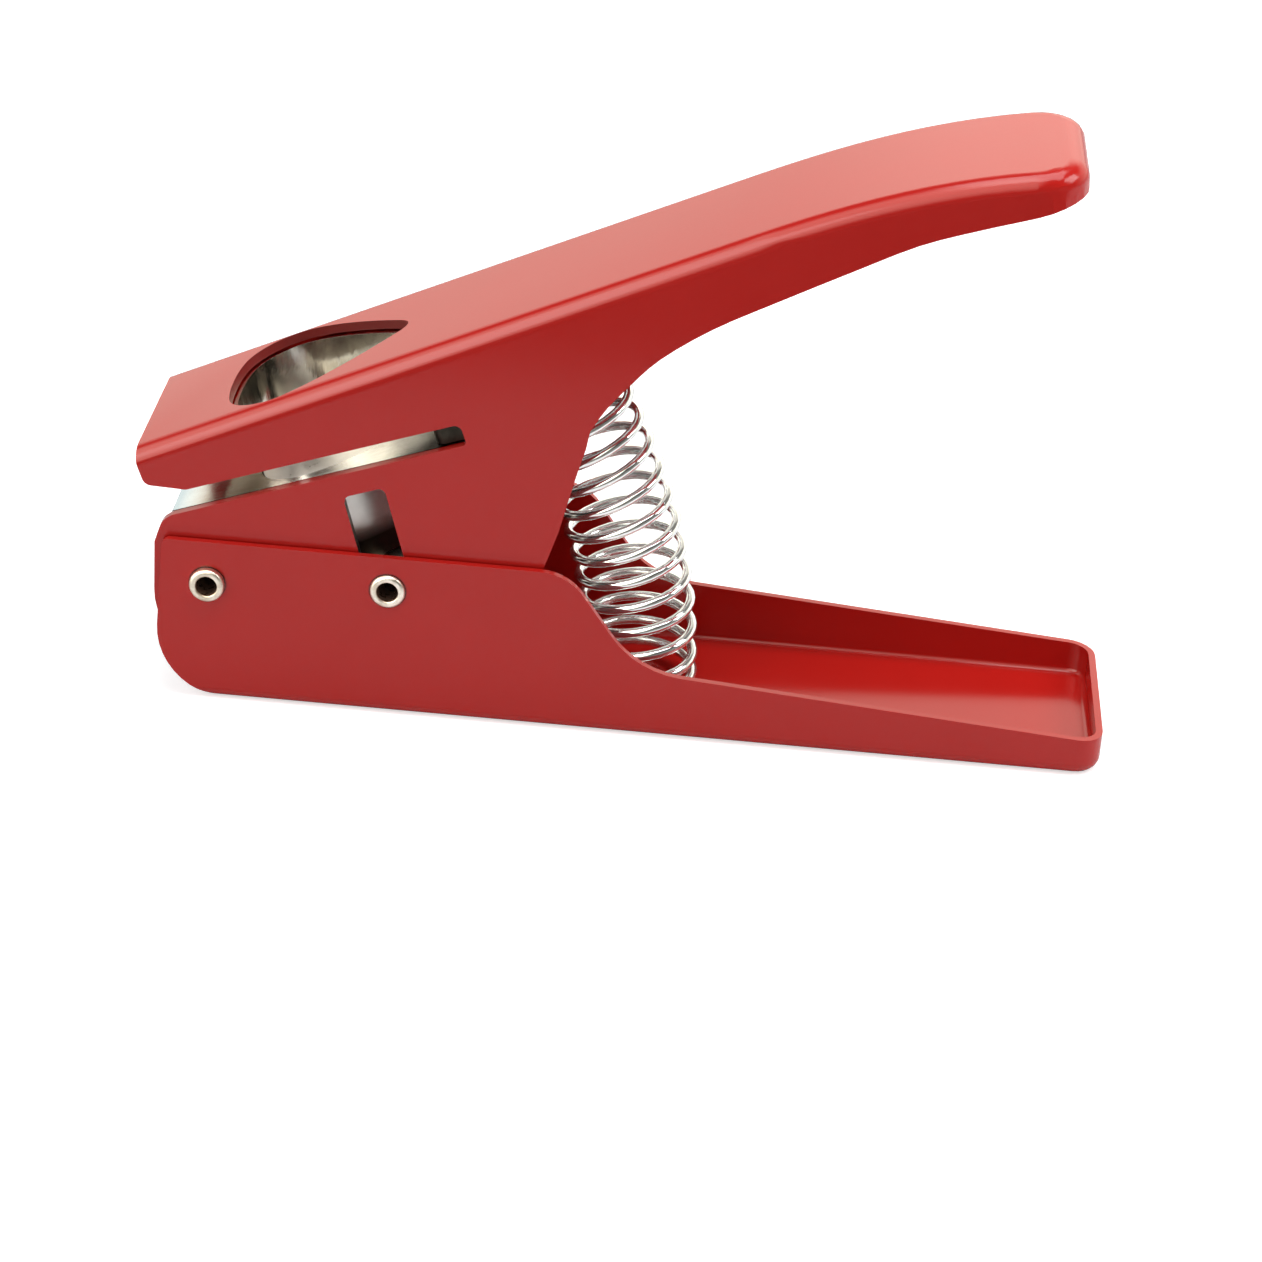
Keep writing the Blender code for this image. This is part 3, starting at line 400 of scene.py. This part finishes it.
def powder_coat(name, dark, light, gloss, pins=()):
    """Satin powder coat, with a thin darker line around the head of each pin."""
    made, tree, shader = new_material(name)
    shader.inputs["IOR"].default_value = PAINT_IOR
    parts = place_group(tree, SKIN, Peel_Scale=PEEL_SCALE, Patch_Scale=PATCH_SCALE)
    patches = spread(tree, parts.outputs["Patches"], *PATCH_RANGE, 0.0, 1.0)
    colour = tone(tree, patches, dark, light)
    for pin in pins:
        # Darker ring on the paint round each pin's head
        dark_ring = near_pin(tree, pin, PIN_HEAD_RADIUS + PIN_RING_DARK_CORE, PIN_HEAD_RADIUS + PIN_RING_DARK_REACH)
        colour = tone(tree, dark_ring, colour, PIN_RING_DARK_COLOUR)
    tree.links.new(colour, shader.inputs["Base Color"])
    tree.links.new(spread(tree, patches, 0.0, 1.0, *gloss), shader.inputs["Roughness"])
    bump(tree, shader, parts.outputs["Peel"], PEEL_STRENGTH, GRAIN_HEIGHT)
    return made


def greased_bore(name, dark, light, gloss):
    """Old brown grease on a pin's bore."""
    made, tree, shader = new_material(name)
    parts = place_group(tree, SKIN, Patch_Scale=GREASE_SCALE)
    lumps = spread(tree, parts.outputs["Patches"], *CLOUD_RANGE, 0.0, 1.0)
    tree.links.new(tone(tree, lumps, dark, light), shader.inputs["Base Color"])
    tree.links.new(spread(tree, lumps, 0.0, 1.0, *gloss), shader.inputs["Roughness"])
    bump(tree, shader, parts.outputs["Patches"], GREASE_STRENGTH, GREASE_HEIGHT)
    return made


def ground_metal(name, dark, light, gloss, lines, clouds, depth, colour_changes=(), metallic=1.0):
    """Machined or plated metal. Gloss is its least and most roughness, lines the grain's frequency
    along X, Y and Z, and clouds that of its patches. Each colour change, a function of the node
    tree, gives the share and the colour of a changed stretch, such as tarnish, painted shade and a
    painted reflection."""
    made, tree, shader = new_material(name)
    shader.inputs["Metallic"].default_value = metallic
    parts = place_group(tree, GRAIN, Along_X=lines[0], Along_Y=lines[1], Along_Z=lines[2],
                        Cloud_Scale=clouds)
    patches = spread(tree, parts.outputs["Clouds"], *CLOUD_RANGE, 0.0, 1.0)
    colour = tone(tree, patches, dark, light)
    for colour_change in colour_changes:
        share, changed = colour_change(tree)
        colour = tone(tree, share, colour, changed)
    tree.links.new(colour, shader.inputs["Base Color"])
    tree.links.new(spread(tree, parts.outputs["Lines"], *LINE_RANGE, *gloss),
                   shader.inputs["Roughness"])
    bump(tree, shader, parts.outputs["Lines"], depth, GRAIN_HEIGHT)
    return made


def stretch_colour_change(colour, direction, origin, *fades):
    """Colour change over a stretch along a direction, painted shade and a painted reflection among
    them. Each fade is the pair of distances past the origin between which the change comes in."""
    def colour_change(tree):
        shares = [along(tree, direction, origin + start, origin + end) for start, end in fades]
        share = shares[0]
        for other in shares[1:]:
            share = number_math(tree, "MULTIPLY", share, other)
        return share, colour
    return colour_change


def bore_tarnish(pin):
    """Tarnish on a pin's head, around its bore."""
    def colour_change(tree):
        return near_pin(tree, pin, PIN_BORE_RADIUS, PIN_BORE_RADIUS + TARNISH_REACH), TARNISH_COLOUR
    return colour_change


# Darker, olive steel towards the card stop
card_end_darkening = stretch_colour_change((0.048, 0.043, 0.033), SLOT_RUN, STOP_FRONT, (-0.0095, -0.0010))
# Darker, bluish steel at the mouth: a painted reflection
mouth_painted_reflection = stretch_colour_change((0.44, 0.55, 0.64), SLOT_RUN, GUIDE_FRONT, (0.009, 0.004))
# Darker stretch of the guide ahead of the punch
guide_darker_stretch = stretch_colour_change((0.30, 0.27, 0.22), SLOT_RUN, GUIDE_FRONT, (0.005, 0.011), (0.022, 0.018))
# Lower part of the punch, darkened as painted shade
punch_foot_painted_shade = stretch_colour_change((0.060, 0.048, 0.040), SLOT_RISE, GUIDE_LOW, (0.0068, 0.0036))
# Brighter steel round the front end of the die's window
die_window_front_brightening = stretch_colour_change((0.78, 0.71, 0.61), SLOT_RUN, DIE_FRONT, (0.0145, 0.0085))

base_red = powder_coat("base_red_powder_coat", *PAINT_TONES, gloss=PAINT_GLOSS,
                       pins=(PIVOT, DRIVE))
lever_red = powder_coat("lever_red_powder_coat", *PAINT_TONES, gloss=PAINT_GLOSS)
# Deeper red on the cut wall round the pick window: painted shade
window_wall_painted_shade = powder_coat("red_powder_coat_window_wall_painted_shade", (0.15, 0.0048, 0.0038),
                         (0.18, 0.0060, 0.0048), gloss=(0.42, 0.50))
# Lighter red on the rounded edges: thinner paint there, and a painted highlight
edge_red_thin_paint_and_highlight = powder_coat("red_powder_coat_edge_thin_paint_and_highlight", (0.45, 0.0130, 0.0095), (0.48, 0.0150, 0.0110),
                       gloss=PAINT_GLOSS)
bore_grease = greased_bore("greased_pin_bore", (0.050, 0.028, 0.018), (0.15, 0.085, 0.055),
                           gloss=(0.20, 0.45))
die_steel = ground_metal(
    "polished_die_steel", (0.37, 0.355, 0.33), (0.50, 0.485, 0.44), gloss=(0.08, 0.18),
    lines=(330.0, 330.0, 60.0), clouds=260.0, depth=0.7, colour_changes=[die_window_front_brightening])
guide_steel = ground_metal(
    "ground_guide_steel", (0.86, 0.85, 0.83), (0.97, 0.97, 0.95), gloss=(0.14, 0.24),
    lines=(90.0, 1400.0, 400.0), clouds=260.0, depth=0.10,
    colour_changes=[guide_darker_stretch, card_end_darkening, mouth_painted_reflection])
punch_steel = ground_metal(
    "brushed_punch_steel", (0.86, 0.84, 0.81), (0.97, 0.96, 0.93), gloss=(0.26, 0.38),
    lines=(420.0, 420.0, 30.0), clouds=160.0, depth=0.06, colour_changes=[punch_foot_painted_shade])
dark_steel = ground_metal(
    "oiled_dark_steel", (0.034, 0.030, 0.024), (0.062, 0.056, 0.045), gloss=(0.32, 0.45),
    lines=(200.0, 200.0, 200.0), clouds=300.0, depth=0.10)
rubbed_steel = ground_metal(
    "rubbed_slot_steel", (0.075, 0.068, 0.060), (0.16, 0.15, 0.135), gloss=(0.28, 0.40),
    lines=(200.0, 200.0, 200.0), clouds=400.0, depth=0.10)
seat_nickel = ground_metal(
    "nickel_plate", (0.66, 0.61, 0.53), (0.78, 0.73, 0.65), gloss=(0.18, 0.30),
    lines=(900.0, 900.0, 900.0), clouds=500.0, depth=0.08)
pivot_nickel = ground_metal(
    "pivot_nickel_plate", (0.56, 0.48, 0.37), (0.90, 0.84, 0.72), gloss=(0.32, 0.44),
    lines=(300.0, 300.0, 300.0), clouds=500.0, depth=0.05, colour_changes=[bore_tarnish(PIVOT)])
drive_nickel = ground_metal(
    "drive_nickel_plate", (0.64, 0.57, 0.46), (0.94, 0.89, 0.79), gloss=(0.30, 0.40),
    lines=(300.0, 300.0, 300.0), clouds=500.0, depth=0.05, colour_changes=[bore_tarnish(DRIVE)])
spring_chrome = ground_metal(
    "bright_spring_wire", (0.88, 0.91, 0.90), (0.96, 0.97, 0.97), gloss=(0.07, 0.14),
    lines=(700.0, 700.0, 700.0), clouds=300.0, depth=0.04, metallic=0.90)


# Pieces


def repaint(piece, finish, chosen):
    """Gives the faces that are chosen another of the piece's finishes."""
    index = piece.data.materials.find(finish.name)
    for face in piece.data.polygons:
        if chosen(face):
            face.material_index = index


def finer_copy(node, name, body, edge, finishes):
    """Copy of a CAD node with merged faces, rounded edges and shading true to its flat faces.
    The last finish goes on the rounded edges."""
    source = frame["nodes"][node]
    piece = bpy.data.objects.new(name, source.data.copy())
    bpy.context.scene.collection.objects.link(piece)
    make_active(piece)
    bpy.ops.mesh.customdata_custom_splitnormals_clear()
    bpy.ops.object.mode_set(mode="EDIT")
    bpy.ops.mesh.select_all(action="SELECT")
    bpy.ops.mesh.remove_doubles(threshold=MERGE_DISTANCE)
    bpy.ops.mesh.mark_sharp(clear=True)
    bpy.ops.mesh.dissolve_limited(angle_limit=FLAT_ANGLE)
    bpy.ops.object.mode_set(mode="OBJECT")
    bpy.ops.object.shade_smooth()
    piece.data.materials.clear()
    for finish in finishes:
        piece.data.materials.append(finish)
    round_off = piece.modifiers.new("edges", "BEVEL")
    round_off.width = edge
    round_off.segments = EDGE_SEGMENTS
    round_off.limit_method = "ANGLE"
    round_off.angle_limit = EDGE_ANGLE
    round_off.use_clamp_overlap = True
    round_off.material = len(finishes) - 1
    normals = piece.modifiers.new("normals", "WEIGHTED_NORMAL")
    normals.weight = FACE_WEIGHT
    apply_modifiers(piece)
    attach(piece, body)
    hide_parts(node)
    return piece


def paint_shade_on_window_wall(lever):
    """Paints shade on the sheet's cut wall round the pick window, as a deeper red."""
    def in_window(face):
        return (abs(face.normal.dot(SLOT_RISE)) < EDGE_ON
                and abs(face.center.y) < WINDOW_REACH
                and GUIDE_FRONT < face.center.dot(SLOT_RUN) < STOP_FRONT
                and face.center.dot(SLOT_RISE) > GUIDE_TOP)

    repaint(lever, window_wall_painted_shade, in_window)


def rub_off_slot(lever):
    """Bares the steel on the walls of the slots in which the drive pin slides."""
    arm = Vector((DRIVE[0] - PIVOT[0], DRIVE[1] - PIVOT[1]))
    c, s = math.cos(LEVER_TRAVEL / 2), math.sin(LEVER_TRAVEL / 2)
    middle = Vector(PIVOT) + Vector((arm.x * c - arm.y * s, arm.x * s + arm.y * c))

    def in_slot(face):
        away = Vector((face.center.x, face.center.z)) - middle
        return abs(face.normal.y) < EDGE_ON and away.length < DRIVE_SLOT_REACH

    repaint(lever, rubbed_steel, in_slot)


def quarter(centre, radius, start, end, steps=5):
    """Points (radius from the axis, along it) of a round, ends included."""
    angles = [start + (end - start) * i / steps for i in range(steps + 1)]
    return [(centre[0] + radius * math.cos(a), centre[1] + radius * math.sin(a)) for a in angles]


def lathe_across(name, profile, place, vertices, finishes):
    """Ring solid about an axis along Y: a circle extruded from one profile point to the next."""
    deselect_all()
    radius, start = profile[0]
    bpy.ops.mesh.primitive_circle_add(vertices=vertices, radius=radius,
                                      location=(place[0], start, place[1]),
                                      rotation=(math.pi / 2, 0.0, 0.0))
    piece = bpy.context.object
    piece.name = name
    bpy.ops.object.mode_set(mode="EDIT")
    bpy.ops.mesh.select_all(action="SELECT")
    for (r0, y0), (r1, y1) in zip(profile, profile[1:] + profile[:1]):
        bpy.ops.mesh.extrude_edges_move(TRANSFORM_OT_translate={"value": (0.0, y1 - y0, 0.0)})
        bpy.ops.transform.resize(value=(r1 / r0, 1.0, r1 / r0))
    bpy.ops.mesh.select_all(action="SELECT")
    bpy.ops.mesh.remove_doubles(threshold=MERGE_DISTANCE)
    bpy.ops.mesh.normals_make_consistent(inside=False)
    bpy.ops.object.mode_set(mode="OBJECT")
    bpy.ops.object.transform_apply(location=True, rotation=True, scale=True)
    bpy.ops.object.shade_smooth_by_angle(angle=EDGE_ANGLE)
    for finish in finishes:
        piece.data.materials.append(finish)
    return piece


def rolled_pin(node, name, finish):
    """Hollow pin whose two heads have rolled lips, with old grease in its bore."""
    centre = centre_of(node)
    low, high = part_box(node)
    end = (high.y - low.y) / 2
    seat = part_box("base_channel")[1].y + PIN_SEAT_GAP

    def head(side):
        outer = quarter((PIN_HEAD_RADIUS - PIN_LIP, end - PIN_LIP), PIN_LIP, 0.0, math.pi / 2)
        inner = quarter((PIN_BORE_RADIUS + PIN_BORE_LIP, end - PIN_BORE_LIP), PIN_BORE_LIP,
                        math.pi / 2, math.pi)
        run = [(PIN_RADIUS, seat), (PIN_HEAD_RADIUS, seat)] + outer + inner
        return [(r, side * y) for r, y in run]

    def in_bore(face):
        away = math.hypot(face.center.x - centre[0], face.center.z - centre[1])
        return away < PIN_BORE_RADIUS + MERGE_DISTANCE

    profile = head(1) + list(reversed(head(-1)))
    pin = lathe_across(name, profile, centre, PIN_VERTICES, [finish, bore_grease])
    repaint(pin, bore_grease, in_bore)
    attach(pin, "base_body")
    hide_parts(node)


def spring_place(distance, foot):
    """Point on the spring's axis at a distance from its foot, and its lean there."""
    angle = min(distance / SPRING_BEND_RADIUS, SPRING_LEAN)
    x = foot - SPRING_BEND_RADIUS * (1 - math.cos(angle))
    z = BASE_FLOOR_TOP + SPRING_BEND_RADIUS * math.sin(angle)
    past = max(0.0, distance - SPRING_BEND_RADIUS * SPRING_LEAN)
    return x - past * math.sin(angle), z + past * math.cos(angle), angle


def spring_axis():
    """Foot's X and length of the spring's axis, which is bent at first and then straight."""
    c, s = math.cos(SPRING_LEAN), math.sin(SPRING_LEAN)
    # The seat's flange lies on the lever's underside, and its middle is the axis's upper end.
    flange = reach_of("spring_seat", Vector((-s, 0.0, c)))[1]
    centre_line = sum(reach_of("spring_seat", Vector((c, 0.0, s)))) / 2
    knee_z = BASE_FLOOR_TOP + SPRING_BEND_RADIUS * s
    knee_x = (centre_line - knee_z * s) / c
    straight = flange - (knee_z * c - knee_x * s)
    return knee_x + SPRING_BEND_RADIUS * (1 - c), SPRING_BEND_RADIUS * SPRING_LEAN + straight


def build_spring():
    """Bright wound wire: a closed turn at each end, open turns between them, on a bent axis."""
    foot, length = spring_axis()
    first = SPRING_GAP + WIRE / 2
    last = length - SPRING_GAP - SEAT_SHEET - WIRE / 2
    open_rise = last - first - 2 * CLOSED_PITCH
    points = []
    for i in range(round((ACTIVE_TURNS + 2) * POINTS_PER_TURN) + 1):
        done = i / POINTS_PER_TURN
        opened = min(max(done - 1, 0.0), ACTIVE_TURNS)
        closed = min(done, 1.0) + max(done - 1 - ACTIVE_TURNS, 0.0)
        rise = first + closed * CLOSED_PITCH + opened / ACTIVE_TURNS * open_rise
        x, z, lean = spring_place(rise, foot)
        swing = COIL_START + 2 * math.pi * done
        aside = COIL_RADIUS * math.cos(swing)
        points.append((x + aside * math.cos(lean), COIL_RADIUS * math.sin(swing),
                       z + aside * math.sin(lean)))
    line = bpy.data.curves.new("return_spring_wire", "CURVE")
    line.dimensions = "3D"
    line.bevel_depth = WIRE / 2
    line.bevel_resolution = WIRE_ROUNDNESS
    line.use_fill_caps = True
    line.resolution_u = 1
    spline = line.splines.new("POLY")
    spline.points.add(len(points) - 1)
    for knot, point in zip(spline.points, points):
        knot.co = (*point, 1.0)
    wire = bpy.data.objects.new("return_spring_wire", line)
    bpy.context.scene.collection.objects.link(wire)
    make_active(wire)
    bpy.ops.object.convert(target="MESH")
    wire = bpy.context.object
    bpy.ops.object.shade_smooth_by_angle(angle=EDGE_ANGLE)
    wire.data.materials.clear()
    wire.data.materials.append(spring_chrome)
    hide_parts("return_spring")
    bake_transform(wire)


def dress(node, finish):
    """Gives a carried-over CAD node its finish."""
    mesh = frame["nodes"][node].data
    mesh.materials.clear()
    mesh.materials.append(finish)


finer_copy("base_channel", "base_channel_shell", "base_body", SHEET_EDGE,
           [base_red, edge_red_thin_paint_and_highlight])
lever = finer_copy("lever_shell", "lever_pressing", "lever_body", SHEET_EDGE,
                   [lever_red, rubbed_steel, window_wall_painted_shade, edge_red_thin_paint_and_highlight])
rub_off_slot(lever)
paint_shade_on_window_wall(lever)
finer_copy("die_plate", "die_ring", "lever_body", MACHINED_EDGE, [die_steel])
finer_copy("guide_block", "guide_plate", "lever_body", MACHINED_EDGE,
           [guide_steel])
finer_copy("punch", "punch_body_steel", "punch_body", MACHINED_EDGE,
           [punch_steel])
finer_copy("card_stop", "card_stop_spacer", "lever_body", MACHINED_EDGE,
           [dark_steel])
rolled_pin("pivot_pin", "pivot_pin_rolled", pivot_nickel)
rolled_pin("drive_pin", "drive_pin_rolled", drive_nickel)
build_spring()
dress("spring_seat", seat_nickel)
for side in ("left", "right"):
    dress("die_screw_" + side, dark_steel)
    dress("die_dowel_" + side, die_steel)


# Stage, light and camera


def build_floor():
    """Pale floor that keeps the tool's shadow."""
    deselect_all()
    bpy.ops.mesh.primitive_plane_add(size=STUDIO_FLOOR_SIZE,
                                     location=(0.0, 0.0, -STUDIO_FLOOR_DROP))
    floor = bpy.context.object
    floor.name = "floor"
    made, tree, shader = new_material("white_sweep")
    shader.inputs["Base Color"].default_value = opaque([STUDIO_FLOOR_SHADE] * 3)
    shader.inputs["Roughness"].default_value = STAGE_ROUGHNESS
    shader.inputs["Emission Color"].default_value = opaque([1.0] * 3)
    seen = tree.nodes.new("ShaderNodeLightPath")
    glow = number_math(tree, "MULTIPLY", seen.outputs["Is Camera Ray"], STUDIO_FLOOR_GLOW)
    tree.links.new(glow, shader.inputs["Emission Strength"])
    floor.data.materials.append(made)


def build_dark_card():
    """Dark studio card on the floor in front of the tool. Only mirror images show it."""
    deselect_all()
    bpy.ops.mesh.primitive_plane_add(size=1.0, location=DARK_CARD_PLACE)
    card = bpy.context.object
    card.name = "dark_card"
    bpy.ops.transform.resize(value=(*DARK_CARD_SIZE, 1.0))
    made, _, shader = new_material("dark_card")
    shader.inputs["Base Color"].default_value = opaque(DARK_CARD_COLOUR)
    shader.inputs["Roughness"].default_value = STAGE_ROUGHNESS
    card.data.materials.append(made)
    card.visible_camera = False
    card.visible_diffuse = False
    card.visible_shadow = False


def build_world():
    """Pale studio: white to the camera, and for mirror images bright behind and dim in front."""
    world = bpy.data.worlds.new("studio")
    bpy.context.scene.world = world
    world.use_nodes = True
    tree = world.node_tree
    seen = tree.nodes.new("ShaderNodeLightPath")
    plain = spread(tree, seen.outputs["Is Camera Ray"], 0.0, 1.0, WORLD_LEVEL, 1.0)
    mirrored = number_math(tree, "MAXIMUM", seen.outputs["Is Glossy Ray"],
                           seen.outputs["Is Transmission Ray"])
    around = tree.nodes.new("ShaderNodeTexCoord").outputs["Generated"]
    direction = tree.nodes.new("ShaderNodeSeparateXYZ")
    tree.links.new(around, direction.inputs["Vector"])
    depth = spread(tree, direction.outputs["Y"], *DEPTH_FADE, FRONT_LEVEL, BACK_LEVEL, smooth=True)
    height = spread(tree, direction.outputs["Z"], *HEIGHT_FADE, 1.0, HIGH_SHARE, smooth=True)
    glow = number_math(tree, "MULTIPLY", depth, height)
    for towards, edge, level in PALE_WALLS:
        facing = vector_math(tree, "DOT_PRODUCT", around, towards, result="Value")
        glow = number_math(tree, "ADD", glow, spread(tree, facing, *edge, 0.0, level, smooth=True))
    strength = tree.nodes.new("ShaderNodeMix")
    tree.links.new(mirrored, strength.inputs["Factor"])
    tree.links.new(plain, strength.inputs["A"])
    tree.links.new(glow, strength.inputs["B"])
    sky = tree.nodes["Background"]
    tree.links.new(strength.outputs["Result"], sky.inputs["Strength"])
    tree.links.new(tone(tree, mirrored, (1.0, 1.0, 1.0), MIRROR_TINT), sky.inputs["Color"])


def soft_lamp(name, place, target, side, power):
    """Square area lamp that faces a point."""
    lamp = bpy.data.lights.new(name, "AREA")
    lamp.shape = "SQUARE"
    lamp.size = side
    lamp.energy = power
    holder = bpy.data.objects.new(name, lamp)
    bpy.context.scene.collection.objects.link(holder)
    holder.location = place
    holder.rotation_euler = (Vector(target) - Vector(place)).to_track_quat("-Z", "Y").to_euler()


def build_camera():
    """Camera of the photograph, with the lens's centre shifted as it is there."""
    ahead = Vector((math.sin(CAMERA_AZIMUTH) * math.cos(CAMERA_ELEVATION),
                    math.cos(CAMERA_AZIMUTH) * math.cos(CAMERA_ELEVATION),
                    -math.sin(CAMERA_ELEVATION)))
    level_right = ahead.cross(Vector((0.0, 0.0, 1.0))).normalized()
    level_down = ahead.cross(level_right)
    c, s = math.cos(CAMERA_ROLL), math.sin(CAMERA_ROLL)
    right = c * level_right - s * level_down
    down = s * level_right + c * level_down
    lens = bpy.data.cameras.new("photo_camera")
    lens.sensor_width = SENSOR_WIDTH
    lens.sensor_fit = "HORIZONTAL"
    lens.lens = FOCAL_PIXELS * SENSOR_WIDTH / IMAGE_SIZE
    lens.shift_x = (IMAGE_SIZE / 2 - CENTRE_COLUMN) / IMAGE_SIZE
    lens.shift_y = (CENTRE_ROW - IMAGE_SIZE / 2) / IMAGE_SIZE
    lens.clip_start = NEAREST_SEEN
    camera = bpy.data.objects.new("photo_camera", lens)
    bpy.context.scene.collection.objects.link(camera)
    turned = Matrix((right, -down, -ahead)).transposed()
    camera.matrix_world = Matrix.Translation(CAMERA_PLACE) @ turned.to_4x4()
    bpy.context.scene.camera = camera


build_floor()
build_dark_card()
build_world()
for lamp_row in LAMPS:
    soft_lamp(*lamp_row)
build_camera()
bpy.context.scene.view_settings.view_transform = "Standard"
